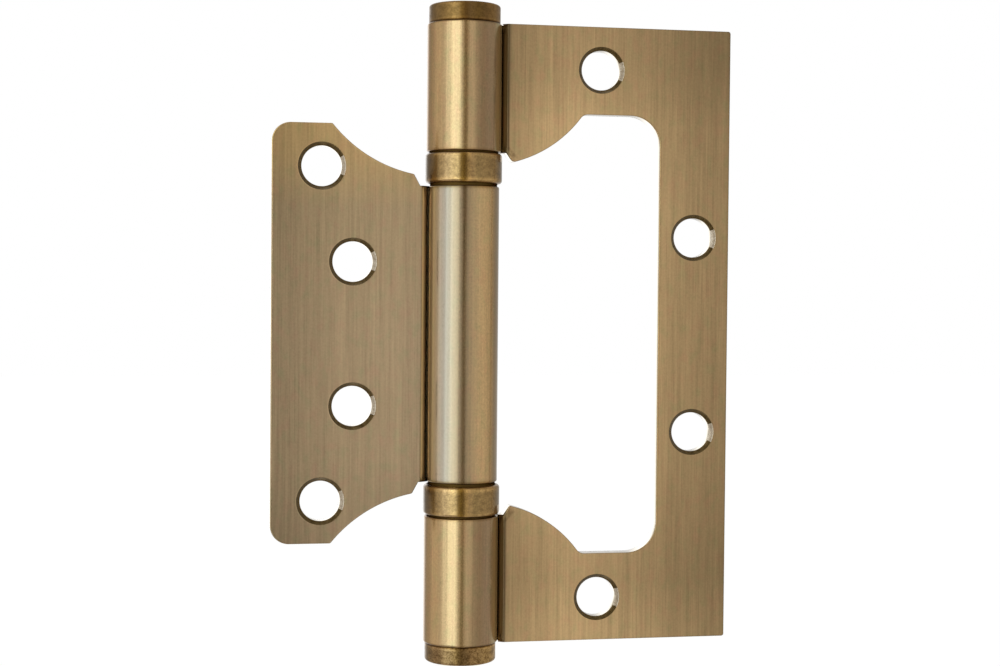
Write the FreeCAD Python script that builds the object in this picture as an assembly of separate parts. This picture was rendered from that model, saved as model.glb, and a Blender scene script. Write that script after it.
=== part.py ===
"""Non-mortise hinge: two stamped leaves rolled round one pin, with a ball thrust bearing at each joint line.

The hinge lies flat open. The origin is on the pin axis at mid-height and Z runs up the pin. The frame leaf
reaches towards +X and the door leaf towards -X. The countersunk faces look towards -Y. Lengths are in
millimetres and angles in degrees.
"""

import FreeCAD
import Part

import math
import os

# Sheet and leaves
sheet = 2.5
leaf_length = 100.0
frame_leaf_reach = 44.2
frame_strip = 11.85
frame_arm = 14.22
nest_side_gap = 1.55
nest_end_gap = 2.4

# Corners of the outlines
frame_corner_radius = 0.4
window_corner_radius = 5.0
lobe_root_radius = 1.5
door_corner_radius = 3.0
small_corner_radius = 0.4
upper_tip_radius = 0.8
lower_tip_radius = 0.2

# Lobes of the frame leaf, and the reliefs that clear them in the door leaf
lobe_radius = 20.05
lobe_centre_x = 3.05
lobe_drop = 2.05
lobe_tip_x = 7.75
lobe_foot_x = 6.75
relief_gap = 2.0
relief_shift = 1.05
shoulder_x = 8.2
shoulder_foot_x = 7.2

# Barrel
pin_radius = 3.5
pin_seat_clearance = 0.02
pin_running_clearance = 0.05
door_knuckle_wall = 2.2
frame_knuckle_length = 20.75
knuckle_facing = 0.25
facing_spare = 0.2
knuckle_edge_break = 0.25
neck_gap = 0.88
neck_back_radius = 1.2
frame_neck_corner = 0.4
door_neck_corner = 1.0
seam_gap = 0.25
seam_lean = 0.93

# End caps
cap_step = 0.28
cap_head = 3.0
cap_edge_radius = 0.4
cap_under_break = 0.15
cap_shank = 6.0
pin_end_gap = 0.3
pin_end_break = 0.4

# Thrust bearings
bearing_height = 5.5
sleeve_frame_gap = 0.2
sleeve_door_gap = 0.45
sleeve_proud = 0.15
sleeve_wall = 0.6
sleeve_edge_radius = 0.55
race_seat_clearance = 0.02
race_running_gap = 0.15
ball_radius = 0.6
ball_count = 8
ball_clearance = 0.02
groove_depth = 0.2
groove_spare_radius = 0.03
cage_height = 0.5
cage_edge_gap = 0.07
pocket_clearance = 0.04

# Screw holes
hole_radius = 3.2
countersink_radius = 3.75
door_outer_margin = 7.9
door_inner_margin = 12.9
door_outer_end_margin = 6.78
door_inner_spacing = 23.0
frame_outer_margin = 21.8
frame_inner_margin = 6.0
frame_outer_end_margin = 7.0
frame_inner_spacing = 32.0

# Sizes that follow
half_sheet = sheet / 2
half_length = leaf_length / 2
frame_bore = pin_radius + pin_seat_clearance
frame_knuckle_radius = frame_bore + sheet
door_bore = pin_radius + pin_running_clearance
door_knuckle_radius = door_bore + door_knuckle_wall
neck_reach = frame_knuckle_radius + neck_gap
knuckle_end = half_length - frame_knuckle_length
cap_seat = half_length - knuckle_facing
door_knuckle_end = knuckle_end - bearing_height
window_edge = frame_leaf_reach - frame_strip
window_end = half_length - frame_arm
door_leaf_reach = window_edge - nest_side_gap
door_leaf_end = window_end - nest_end_gap
lobe_centre_z = knuckle_end - lobe_drop + lobe_radius
relief_centre_x = lobe_centre_x + relief_shift
relief_radius = lobe_radius + relief_gap
cap_radius = frame_knuckle_radius - cap_step
sleeve_radius = frame_knuckle_radius + sleeve_proud
sleeve_bore = sleeve_radius - sleeve_wall
door_race_radius = sleeve_bore - race_running_gap
ball_circle = (door_bore + door_race_radius) / 2
bearing_middle = (knuckle_end + door_knuckle_end) / 2
race_gap = 2 * (ball_radius + ball_clearance - groove_depth)
race_height = (bearing_height - race_gap) / 2
door_outer_hole = (door_leaf_reach - door_outer_margin, door_leaf_end - door_outer_end_margin)
door_inner_hole = (door_leaf_reach - door_inner_margin, door_inner_spacing / 2)
frame_outer_hole = (frame_leaf_reach - frame_outer_margin, half_length - frame_outer_end_margin)
frame_inner_hole = (frame_leaf_reach - frame_inner_margin, frame_inner_spacing / 2)


def at(x, y, z=0.0):
    """A point of the model."""
    return FreeCAD.Vector(x, y, z)


def line(a, b):
    """A straight edge."""
    return Part.LineSegment(a, b).toShape()


def arc(a, middle, b):
    """A round edge through three points."""
    return Part.Arc(a, middle, b).toShape()


def on_circle(centre_x, centre_y, radius, degrees):
    """The point of a circle at an angle, as an x and a y."""
    turn = math.radians(degrees)
    return centre_x + radius * math.cos(turn), centre_y + radius * math.sin(turn)


def ring(outer, inner, low, high):
    """A plain ring round the pin axis between two heights."""
    height = high - low
    body = Part.makeCylinder(outer, height, at(0, 0, low))
    return body.cut(Part.makeCylinder(inner, height, at(0, 0, low)))


def circular_edges(solid, radius, height):
    """The round edges of one radius at one height, for a fillet or a chamfer."""
    found = []
    for edge in solid.Edges:
        curve = edge.Curve
        if not isinstance(curve, Part.Circle):
            continue
        if abs(curve.Radius - radius) < 1e-6 and abs(curve.Center.z - height) < 1e-6:
            found.append(edge)
    return found


def rolled_section(reach, bore, wall, neck_corner, side):
    """The leaf's section across the pin: a flat sheet that bends to the back and rolls round the bore.

    The front face turns in at the neck with a small corner and leans down to the bore. The roll's free end
    comes round from the back and stops short of that lean by the seam gap. side is 1 for +X and -1 for -X.
    """
    outer = bore + wall
    corner_distance = math.hypot(neck_reach, half_sheet)
    lean = math.atan2(half_sheet, neck_reach) + math.asin(seam_lean * bore / corner_distance)
    seam = lean - math.asin((seam_lean * bore - seam_gap) / outer)
    chord = bore * math.sqrt(1 - seam_lean**2)
    run = neck_reach * math.cos(lean) + half_sheet * math.sin(lean) - chord
    root = (neck_reach - run * math.cos(lean), run * math.sin(lean) - half_sheet)
    root_angle = math.degrees(math.atan2(root[1], root[0]))
    end_angle = 360 - math.degrees(seam)

    tangent = neck_corner * math.tan(lean / 2)
    flat_start = (neck_reach + tangent, -half_sheet)
    lean_start = (neck_reach - tangent * math.cos(lean), tangent * math.sin(lean) - half_sheet)
    half_turn = math.degrees(lean) / 2
    corner_middle = on_circle(flat_start[0], neck_corner - half_sheet, neck_corner, -90 - half_turn)

    back_y = half_sheet + neck_back_radius
    back_x = math.sqrt((outer + neck_back_radius) ** 2 - back_y**2)
    back_angle = math.degrees(math.atan2(back_y, back_x))
    fillet_middle = on_circle(back_x, back_y, neck_back_radius, (back_angle + 180 + 270) / 2)

    def p(point):
        return at(side * point[0], point[1])

    free_outer = on_circle(0, 0, outer, end_angle)
    free_inner = on_circle(0, 0, bore, end_angle)
    back_start = on_circle(0, 0, outer, back_angle)
    edges = [
        line(p((reach, -half_sheet)), p((reach, half_sheet))),
        line(p((reach, half_sheet)), p((back_x, half_sheet))),
        arc(p((back_x, half_sheet)), p(fillet_middle), p(back_start)),
        arc(p(back_start), p(on_circle(0, 0, outer, (back_angle + end_angle) / 2)), p(free_outer)),
        line(p(free_outer), p(free_inner)),
        arc(p(free_inner), p(on_circle(0, 0, bore, (end_angle + root_angle) / 2)), p(root)),
        line(p(root), p(lean_start)),
        arc(p(lean_start), p(corner_middle), p(flat_start)),
        line(p(flat_start), p((reach, -half_sheet))),
    ]
    return Part.Face(Part.Wire(edges)), back_angle, end_angle


def rolled_bar(reach, bore, wall, neck_corner, side, end):
    """The rolled section drawn out to plus and minus one height."""
    face, back_angle, end_angle = rolled_section(reach, bore, wall, neck_corner, side)
    face.translate(at(0, 0, -end))
    return face.extrude(at(0, 0, 2 * end)), back_angle, end_angle


def edge_break(outer, height, up, back_angle, end_angle, side):
    """The cutter that breaks a knuckle's outer edge at one end, from its back bend round to its free end."""
    corner = at(outer, 0, height)
    inward = at(outer - knuckle_edge_break, 0, height)
    along = at(outer, 0, height - up * knuckle_edge_break)
    face = Part.Face(Part.makePolygon([corner, inward, along, corner]))
    turned = face.revolve(at(0, 0, 0), at(0, 0, 1), end_angle - back_angle)
    start = back_angle if side > 0 else 180 - end_angle
    turned.rotate(at(0, 0, 0), at(0, 0, 1), start)
    return turned


def prism(edges):
    """A face in the leaf plane made into a block that passes through the whole barrel."""
    depth = 2 * (frame_knuckle_radius + sheet)
    face = Part.Face(Part.Wire(edges))
    face.translate(at(0, -depth / 2, 0))
    return face.extrude(at(0, depth, 0))


def round_corners(block, corners):
    """Round the corners of a prism. Each corner is its x, its z and its radius."""
    for x, z, radius in corners:
        found = []
        for edge in block.Edges:
            ends = [vertex.Point for vertex in edge.Vertexes]
            if len(ends) == 2 and all(abs(q.x - x) < 1e-6 and abs(q.z - z) < 1e-6 for q in ends):
                found.append(edge)
        block = block.makeFillet(radius, found)
    return block


def lobed_edges(points, centre_x, radius, low_x, high_x):
    """A closed outline, mirrored about mid-height, from its upper corners and one arc.

    points are the upper corners in order, and the arc joins the corner at low_x to the corner at high_x.
    """
    upper = []
    for a, b in zip(points, points[1:]):
        start = at(a[0], 0, a[1])
        finish = at(b[0], 0, b[1])
        if {abs(a[0]), abs(b[0])} == {low_x, high_x}:
            middle_x = (low_x + high_x) / 2
            drop = math.sqrt(radius**2 - (middle_x - centre_x) ** 2)
            x = math.copysign(middle_x, a[0])
            upper.append((start, at(x, 0, lobe_centre_z - drop), finish))
        else:
            upper.append((start, None, finish))
    edges = []
    for sign in (1, -1):
        for start, middle, finish in upper:
            a = at(start.x, 0, sign * start.z)
            b = at(finish.x, 0, sign * finish.z)
            if middle is None:
                edges.append(line(a, b))
            else:
                edges.append(arc(a, at(middle.x, 0, sign * middle.z), b))
    first, last = points[0], points[-1]
    edges.append(line(at(first[0], 0, first[1]), at(first[0], 0, -first[1])))
    edges.append(line(at(last[0], 0, last[1]), at(last[0], 0, -last[1])))
    return Part.__sortEdges__(edges)


def arc_height(x, centre_x, radius):
    """The height of the lobe or relief arc at one x."""
    return lobe_centre_z - math.sqrt(radius**2 - (x - centre_x) ** 2)


def arc_reach(z, centre_x, radius):
    """The x at which the lobe or relief arc meets one height."""
    return centre_x + math.sqrt(radius**2 - (lobe_centre_z - z) ** 2)


def window_block():
    """The opening of the frame leaf: the window, the two lobes and the place of the door knuckle."""
    root_x = arc_reach(window_end, lobe_centre_x, lobe_radius)
    tip_z = arc_height(lobe_tip_x, lobe_centre_x, lobe_radius)
    clear_x = -2 * frame_knuckle_radius
    points = [
        (window_edge, window_end),
        (root_x, window_end),
        (lobe_tip_x, tip_z),
        (lobe_foot_x, knuckle_end),
        (clear_x, knuckle_end),
    ]
    block = prism(lobed_edges(points, lobe_centre_x, lobe_radius, lobe_tip_x, root_x))
    corners = []
    for sign, tip_radius in ((1, upper_tip_radius), (-1, lower_tip_radius)):
        corners.append((window_edge, sign * window_end, window_corner_radius))
        corners.append((root_x, sign * window_end, lobe_root_radius))
        corners.append((lobe_tip_x, sign * tip_z, tip_radius))
    return round_corners(block, corners)


def door_outline_block():
    """The outline of the door leaf and its knuckle, with the reliefs that clear the lobes."""
    relief_x = arc_reach(door_leaf_end, relief_centre_x, relief_radius)
    shoulder_z = arc_height(shoulder_x, relief_centre_x, relief_radius)
    clear_x = 2 * frame_knuckle_radius
    points = [
        (-door_leaf_reach, door_leaf_end),
        (-relief_x, door_leaf_end),
        (-shoulder_x, shoulder_z),
        (-shoulder_foot_x, door_knuckle_end),
        (clear_x, door_knuckle_end),
    ]
    block = prism(lobed_edges(points, relief_centre_x, relief_radius, shoulder_x, relief_x))
    corners = []
    for sign in (1, -1):
        corners.append((-door_leaf_reach, sign * door_leaf_end, door_corner_radius))
        corners.append((-relief_x, sign * door_leaf_end, small_corner_radius))
        corners.append((-shoulder_x, sign * shoulder_z, small_corner_radius))
    return round_corners(block, corners)


def screw_hole(x, z):
    """A through hole with a countersink of 90 degrees in the front face."""
    sink = countersink_radius - hole_radius
    back = at(0, 1, 0)
    through = Part.makeCylinder(hole_radius, sheet, at(x, -half_sheet, z), back)
    cone = Part.makeCone(countersink_radius, hole_radius, sink, at(x, -half_sheet, z), back)
    return through.fuse(cone)


def drill(leaf, side, holes):
    """Cut each hole and its mirror image below mid-height."""
    for x, z in holes:
        for sign in (1, -1):
            leaf = leaf.cut(screw_hole(side * x, sign * z))
    return leaf


def frame_leaf():
    """The tall leaf: rolled bar, window and lobes, knuckle ends faced for the caps, edges broken, holes."""
    bar, back_angle, end_angle = rolled_bar(
        frame_leaf_reach, frame_bore, sheet, frame_neck_corner, 1, half_length
    )
    corners = [(frame_leaf_reach, sign * half_length, frame_corner_radius) for sign in (1, -1)]
    leaf = round_corners(bar, corners).cut(window_block())
    facing_radius = frame_knuckle_radius + facing_spare
    for sign in (1, -1):
        low = min(sign * cap_seat, sign * half_length)
        leaf = leaf.cut(Part.makeCylinder(facing_radius, knuckle_facing, at(0, 0, low)))
        for height, up in ((cap_seat, sign), (knuckle_end, -sign)):
            cutter = edge_break(frame_knuckle_radius, sign * height, up, back_angle, end_angle, 1)
            leaf = leaf.cut(cutter)
    return drill(leaf, 1, (frame_outer_hole, frame_inner_hole))


def door_leaf():
    """The short leaf: rolled bar cut to its outline, knuckle edges broken, holes."""
    bar, back_angle, end_angle = rolled_bar(
        door_leaf_reach, door_bore, door_knuckle_wall, door_neck_corner, -1, door_leaf_end
    )
    leaf = bar.common(door_outline_block())
    for sign in (1, -1):
        height = sign * door_knuckle_end
        leaf = leaf.cut(edge_break(door_knuckle_radius, height, sign, back_angle, end_angle, -1))
    return drill(leaf, -1, (door_outer_hole, door_inner_hole))


def hinge_pin():
    """The pin between the two cap shanks, with its ends broken."""
    end = cap_seat - cap_shank - pin_end_gap
    pin = Part.makeCylinder(pin_radius, 2 * end, at(0, 0, -end))
    rims = circular_edges(pin, pin_radius, end) + circular_edges(pin, pin_radius, -end)
    return pin.makeChamfer(pin_end_break, rims)


def end_cap():
    """The top cap: a disc on the knuckle with a shank down its bore."""
    top = cap_seat + cap_head
    cap = Part.makeCylinder(cap_radius, cap_head, at(0, 0, cap_seat))
    cap = cap.makeFillet(cap_edge_radius, circular_edges(cap, cap_radius, top))
    cap = cap.makeChamfer(cap_under_break, circular_edges(cap, cap_radius, cap_seat))
    shank = Part.makeCylinder(pin_radius, cap_shank, at(0, 0, cap_seat - cap_shank))
    return cap.fuse(shank).removeSplitter()


def bearing_sleeve():
    """The rounded sleeve that is pushed on to the frame race and hides the upper bearing."""
    low = door_knuckle_end + sleeve_door_gap
    high = knuckle_end - sleeve_frame_gap
    sleeve = ring(sleeve_radius, sleeve_bore, low, high)
    rims = circular_edges(sleeve, sleeve_radius, low) + circular_edges(sleeve, sleeve_radius, high)
    return sleeve.makeFillet(sleeve_edge_radius, rims)


def race_groove(toward):
    """The ring groove for the balls. toward is 1 for the one under the upper race and -1 for the lower."""
    groove_radius = ball_radius + ball_clearance + groove_spare_radius
    lift = -toward * groove_spare_radius
    return Part.makeTorus(ball_circle, groove_radius, at(0, 0, bearing_middle + lift))


def frame_race():
    """The upper bearing's race under the frame knuckle, which carries the sleeve."""
    outer = sleeve_bore - race_seat_clearance
    race = ring(outer, frame_bore, knuckle_end - race_height, knuckle_end)
    return race.cut(race_groove(1))


def door_race():
    """The upper bearing's race on the door knuckle, clear of the sleeve."""
    race = ring(door_race_radius, door_bore, door_knuckle_end, door_knuckle_end + race_height)
    return race.cut(race_groove(-1))


def ball_places():
    """Where the balls of the upper bearing lie, evenly round the pin."""
    for index in range(ball_count):
        x, y = on_circle(0, 0, ball_circle, 360 * index / ball_count)
        yield at(x, y, bearing_middle)


def ball_cage():
    """A flat ring with one pocket for each ball."""
    low = bearing_middle - cage_height / 2
    cage = ring(door_race_radius - cage_edge_gap, door_bore + cage_edge_gap, low, low + cage_height)
    for place in ball_places():
        pocket = Part.makeCylinder(ball_radius + pocket_clearance, cage_height, at(place.x, place.y, low))
        cage = cage.cut(pocket)
    return cage


def below(solid):
    """The same piece at the bottom of the hinge."""
    return solid.mirror(at(0, 0, 0), at(0, 0, 1))


def build():
    """Every piece by name."""
    cap = end_cap()
    pieces = {
        "frame_leaf": frame_leaf(),
        "door_leaf": door_leaf(),
        "hinge_pin": hinge_pin(),
        "top_cap": cap,
        "bottom_cap": below(cap),
    }
    bearing = {
        "bearing_sleeve": bearing_sleeve(),
        "frame_race": frame_race(),
        "door_race": door_race(),
        "ball_cage": ball_cage(),
    }
    for index, place in enumerate(ball_places(), 1):
        bearing[f"ball_{index}"] = Part.makeSphere(ball_radius, place)
    for name, solid in bearing.items():
        pieces["upper_" + name] = solid
        pieces["lower_" + name] = below(solid)
    return pieces


os.makedirs("parts", exist_ok=True)
for node, piece in build().items():
    solids = piece.Solids
    if len(solids) != 1 or not solids[0].isValid():
        raise ValueError(f"{node} is not one sound solid")
    solids[0].exportStep(f"parts/{node}.step")
    print(node, round(solids[0].Volume, 2))
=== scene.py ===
"""The finished look of a non-mortise hinge.

It has brushed bronze leaves, turned caps and sleeves, and ball bearings inside. Sizes are in millimetres and
become metres when a mesh is made. X runs across the leaves, Z up the pin, and the countersunk faces look
towards -Y.
"""

import math

import bmesh
import bpy
import numpy as np
from mathutils import Matrix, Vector
from mathutils.geometry import delaunay_2d_cdt


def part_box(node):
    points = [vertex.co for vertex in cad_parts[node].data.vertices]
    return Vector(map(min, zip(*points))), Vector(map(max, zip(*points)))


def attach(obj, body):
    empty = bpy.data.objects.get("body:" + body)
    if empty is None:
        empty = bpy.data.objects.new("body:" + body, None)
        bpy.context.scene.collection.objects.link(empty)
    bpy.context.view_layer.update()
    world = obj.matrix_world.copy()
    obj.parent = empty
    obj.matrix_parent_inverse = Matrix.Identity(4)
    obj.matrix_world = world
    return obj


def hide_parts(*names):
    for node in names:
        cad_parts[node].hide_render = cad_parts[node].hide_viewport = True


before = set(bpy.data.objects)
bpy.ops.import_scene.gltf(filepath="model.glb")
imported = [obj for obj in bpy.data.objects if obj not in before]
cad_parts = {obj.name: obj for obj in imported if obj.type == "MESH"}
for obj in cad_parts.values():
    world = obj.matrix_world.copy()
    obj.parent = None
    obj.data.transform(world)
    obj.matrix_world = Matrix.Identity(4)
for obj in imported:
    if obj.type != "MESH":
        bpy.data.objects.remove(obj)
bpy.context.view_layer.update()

MM = 0.001

# The rolled leaves
SHEET = 2.5
HALF_SHEET = SHEET / 2
NECK_REACH = 6.9
NECK_BACK_RADIUS = 1.2
SEAM_GAP = 0.25
SEAM_LEAN = 0.93
FRAME_BORE = 3.52
DOOR_BORE = 3.55
DOOR_KNUCKLE_WALL = 2.2
FRAME_NECK_CORNER = 0.4
DOOR_NECK_CORNER = 1.0
FACING_RADIUS = 6.22
KNUCKLE_FACING = 0.25

# The outlines of the leaves
FRAME_STRIP = 11.85
FRAME_ARM = 14.22
FRAME_CORNER_RADIUS = 0.4
WINDOW_CORNER_RADIUS = 5.0
LOBE_ROOT_RADIUS = 1.5
DOOR_CORNER_RADIUS = 3.0
SMALL_CORNER_RADIUS = 0.4
UPPER_TIP_RADIUS = 0.8
LOWER_TIP_RADIUS = 0.2
LOBE_CENTRE = (3.05, 47.25)
LOBE_RADIUS = 20.05
LOBE_TIP_X = 7.75
LOBE_FOOT_X = 6.75
RELIEF_CENTRE = (4.1, 47.25)
RELIEF_RADIUS = 22.05
SHOULDER_X = 8.2
SHOULDER_FOOT_X = 7.2
FRAME_KNUCKLE_END = 29.25
DOOR_KNUCKLE_END = 23.75

# Screw holes
HOLE_RADIUS = 3.2
COUNTERSINK_RADIUS = 3.75
FRAME_HOLES = ((22.4, 43.0), (38.2, 16.0))
DOOR_HOLES = ((22.9, 26.6), (17.9, 11.5))

# Worn edges
FRONT_ROUND = 0.16
BACK_ROUND = 0.12
KNUCKLE_ROUND = 0.27
RIM_ROUND = 0.05
SUPPORT = 0.18

# Turned sleeves and caps
SLEEVE_WALL = 0.6
SLEEVE_RIM = 0.55
SLEEVE_LIP = 0.1
CAP_RIM = 0.4
CAP_UNDER = 0.15
SHANK_RADIUS = 3.5
SHANK_CHAMFER = 0.3

# Zones of a leaf's surface, in the order of its materials: flat leaf, rolled knuckle, cut wall, screw hole
# darkened by painted shade, and the part of a hole's right side with a painted glint, from this share of its
# radius outwards
FLAT, KNUCKLE, CUT, PAINTED_SHADE_SINK, PAINTED_GLINT = range(5)
PAINTED_GLINT_SHARE = 0.9

# Mesh steps in degrees, then in millimetres, and numbers of points
TABLE_STEP = 0.25
ROLL_STEP = 2.5
BEND_STEP = 6.0
ARC_STEP = 5.0
CORNER_STEP = 4.0
LOBE_STEP = 2.0
RIM_STEP = 15.0
ROW_STEP = 1.6
LEAST_COLUMN = 0.03
LEAST_STEP = 1e-4
LEAN_POINTS = 400
JOIN_POINTS = 8
HOLE_POINTS = 96
ROUND_POINTS = 5
LATHE_POINTS = 160

# How far the columns of a leaf's mesh keep off the knuckle's ends, the lobe's or shoulder's foot and the
# bend, and how near to the bend's line a point still counts as on it
END_CLEAR = 0.02
FOOT_CLEAR = 0.05
BEND_CLEAR = 0.1
ON_LINE = 0.01

# How bright the surroundings look in reflections, by azimuth in degrees, positive to the right
HORIZON = (
    (-180, 1.5), (-160, 1.5), (-150, (0.5, 0.45, 0.36)), (-128, (0.75, 0.71, 0.62)), (-112, 1.0), (-18, 1.0),
    (-14, 0.8), (-10, (0.36, 0.3, 0.2)), (-7, (0.2, 0.15, 0.085)), (-1, (0.18, 0.135, 0.075)), (3, 0.6),
    (9, 1.0), (22, 1.0), (36, 0.86), (52, (0.78, 0.76, 0.72)), (95, (0.56, 0.53, 0.48)),
    (140, (0.5, 0.47, 0.42)), (165, 0.7), (180, 1.5),
)

# The light that the surroundings give, and the floor, in metres, with how bright it looks when seen directly
FILL_STRENGTH = 1.15
FLOOR_HALF = 4.0
FLOOR_LEVEL = -0.22
FLOOR_GLOW = 1.02
FLOOR_GLOW_SHARE = 0.9

# Lamps: azimuth and elevation in degrees, distance, width and height in metres, strength and tint
LAMPS = {
    "left_wide": (-84, 0, 0.6, 0.56, 1.1, 0.25, (1.0, 1.0, 1.0)),
    "left_strip": (-46, 0, 0.6, 0.45, 1.1, 0.95, (0.88, 1.0, 0.98)),
    "left_core": (-35, 0, 0.6, 0.30, 1.1, 1.35, (0.88, 1.0, 0.97)),
    "front_fill": (15, 4, 0.7, 0.30, 0.8, 0.28, (1.0, 1.0, 1.0)),
}

# The camera of the picture: its place in millimetres, its turn, dip and roll in degrees, and its lens
CAMERA_PLACE = (-46.268, -278.656, 8.077)
CAMERA_TURN, CAMERA_DIP, CAMERA_ROLL = 10.659, 1.5914, 0.4949
LENS_LENGTH, SENSOR_WIDTH = 62.97, 36.0

# Bronze tones
FRAME_LIGHT = (0.482, 0.325, 0.159, 1)
FRAME_DARK = (0.333, 0.225, 0.109, 1)
DOOR_LIGHT = (0.446, 0.325, 0.191, 1)
DOOR_DARK = (0.336, 0.244, 0.143, 1)
FRAME_KNUCKLE_LIGHT = (0.375, 0.246, 0.116, 1)
FRAME_KNUCKLE_DARK = (0.275, 0.18, 0.082, 1)
DOOR_KNUCKLE_LIGHT = (0.34, 0.228, 0.106, 1)
DOOR_KNUCKLE_DARK = (0.245, 0.164, 0.076, 1)
RING_LIGHT = (0.33, 0.212, 0.082, 1)
RING_DARK = (0.19, 0.115, 0.04, 1)
TOP_LIGHT = (0.17, 0.098, 0.031, 1)
TOP_DARK = (0.112, 0.064, 0.018, 1)
BOTTOM_LIGHT = (0.31, 0.205, 0.092, 1)
BOTTOM_DARK = (0.11, 0.064, 0.022, 1)
WARM_TINT = (1.04, 0.92, 0.97, 1)
COOL_TINT = (0.84, 0.98, 0.92, 1)

# Bare metal where the bronze is worn through or cut, and painted shade and a painted glint in the screw holes
WORN = (0.29, 0.285, 0.25, 1)
CUT_LIGHT = (0.82, 0.77, 0.68, 1)
CUT_DARK = (0.7, 0.65, 0.56, 1)
SINK_SHADE_LIGHT = (0.15, 0.103, 0.042, 1)
SINK_SHADE_DARK = (0.085, 0.056, 0.02, 1)
PAINTED_GLINT_LIGHT = (0.64, 0.57, 0.47, 1)
PAINTED_GLINT_DARK = (0.5, 0.43, 0.34, 1)

# Metals inside
STEEL_LIGHT = (0.58, 0.57, 0.55, 1)
STEEL_DARK = (0.42, 0.41, 0.40, 1)
# The races' dark brown is painted shade in the gaps beside the sleeves, where the races show
RACE_SHADE_LIGHT = (0.09, 0.052, 0.014, 1)
RACE_SHADE_DARK = (0.04, 0.022, 0.005, 1)
BRASS_LIGHT = (0.72, 0.52, 0.25, 1)
BRASS_DARK = (0.55, 0.38, 0.17, 1)
CHROME_LIGHT = (0.75, 0.75, 0.76, 1)
CHROME_DARK = (0.66, 0.66, 0.67, 1)

# Painted light and shade multiplied into each finish: an axis, and stops of millimetres and brightness along
# it.
# They paint falls of light across the leaves, highlights and dark reflected lines, and shade in grooves and
# seams
# Frame leaf: painted shade in the neck groove, and painted light that mostly dims towards the outer edge and
# top
FRAME_PAINTED_LIGHT = (
    ("x", (
        (6.2, 0.8), (6.6, 0.4), (7.0, 0.22), (7.2, 0.5), (7.4, 0.8), (7.8, 0.83), (12, 0.97), (18, 1.087),
        (33, 0.76), (36, 0.67), (40, 0.61), (44, 0.57),
    )),
    ("z", (
        (-50, 1.08), (-40, 0.875), (-34, 0.91), (-20, 1.05), (20, 1.155), (34, 1.04), (38, 0.917),
        (44, 0.815), (50, 0.795),
    )),
)
# Door leaf: painted light, dimmer at the outer edge, near the knuckle and at the bottom, brighter and warmer
# at top
DOOR_PAINTED_LIGHT = (
    ("x", ((-31, 0.84), (-27, 0.89), (-20, 1.03), (-12, 0.99), (-7, 0.84))),
    ("z", (
        (-33, 0.8), (-20, 0.935), (0, 0.96), (20, (0.91, 0.91, 0.875)), (28, (1.12, 1.05, 0.84)),
        (33, (1.16, 1.07, 0.82)),
    )),
)
# Frame knuckles: painted highlight and dark reflected line, brighter cooler light on the right, painted shade
# at the ends
FRAME_KNUCKLE_PAINTED_LIGHT = (
    ("x", (
        (-5.9, (1.0, 0.92, 0.78)), (-4.6, (1.0, 0.97, 0.9)), (-3.5, (1.05, 1.12, 1.2)),
        (-2.1, (1.0, 1.07, 1.2)), (-1.5, (1.3, 1.43, 1.55)), (-0.9, (1.42, 1.48, 1.45)),
        (-0.5, (1.35, 1.38, 1.35)), (0.0, (1.0, 1.02, 1.05)), (1.0, 0.82), (2.2, (0.8, 0.77, 0.82)),
        (3.2, (0.96, 0.98, 1.18)), (4.0, (1.1, 1.15, 1.35)), (4.8, (1.5, 1.8, 2.2)), (6.2, (1.5, 1.8, 2.2)),
    )),
    ("|z|", (
        (29.25, (0.45, 0.33, 0.12)), (29.5, (0.85, 0.8, 0.7)), (29.8, 1.0), (49.4, 1.0),
        (49.6, (0.6, 0.52, 0.34)), (49.75, (0.36, 0.24, 0.07)),
    )),
)
# Door knuckle: painted highlights and dark reflected lines across it, and painted shade at its ends
DOOR_KNUCKLE_PAINTED_LIGHT = (
    ("x", (
        (-5.5, 2.0), (-4.4, 1.3), (-3.6, 1.05), (-3.0, 1.0), (-2.4, 0.78), (-1.8, 0.72), (-1.3, 0.85),
        (-0.6, 1.12), (-0.1, 0.77), (0.5, 0.84), (1.1, 1.28), (1.8, 1.7), (2.9, 1.95), (3.8, 1.85),
        (4.4, 1.25), (4.9, 0.95),
    )),
    ("|z|", ((22.8, 1.0), (23.2, 0.9), (23.5, (0.6, 0.52, 0.34)), (23.75, (0.3, 0.2, 0.06)))),
)
# Sleeves: painted shade on the left, painted highlights and a dark reflected line, and painted highlights on
# the rims
RING_PAINTED_LIGHT = (
    ("x", (
        (-6.2, (0.3, 0.25, 0.1)), (-5.8, (0.35, 0.28, 0.1)), (-5.0, (0.58, 0.52, 0.36)),
        (-4.2, (0.95, 0.97, 1.03)), (-3.5, (1.0, 1.04, 1.25)), (-2.6, (0.84, 0.86, 0.95)),
        (-1.8, (0.82, 0.84, 0.86)), (-1.4, (0.6, 0.54, 0.28)), (-1.0, (0.78, 0.68, 0.26)),
        (-0.4, (1.04, 0.98, 0.76)), (0.3, (0.8, 0.76, 0.7)), (1.3, (0.88, 0.88, 0.8)), (2.3, 1.07),
        (3.4, 1.15), (4.2, 1.28), (5.2, 0.75), (6.2, 0.5),
    )),
    ("|z|", (
        (24.2, (1.2, 0.95, 0.5)), (24.5, 1.4), (24.7, 1.7), (25.1, 1.1), (25.5, 1.0), (27.9, 1.0),
        (28.3, 1.1), (28.6, 1.35), (28.9, 1.1), (29.05, (0.8, 0.6, 0.25)),
    )),
)
# Painted shade in a cap's seam and painted highlights on its rims
CAP_SEAM_PAINTED_LIGHT = ("|z|", (
    (49.75, (0.4, 0.29, 0.1)), (49.95, (0.6, 0.5, 0.3)), (50.1, 1.35), (50.4, 1.0), (52.3, 1.0), (52.6, 1.3),
    (52.75, 1.2),
))
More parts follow.
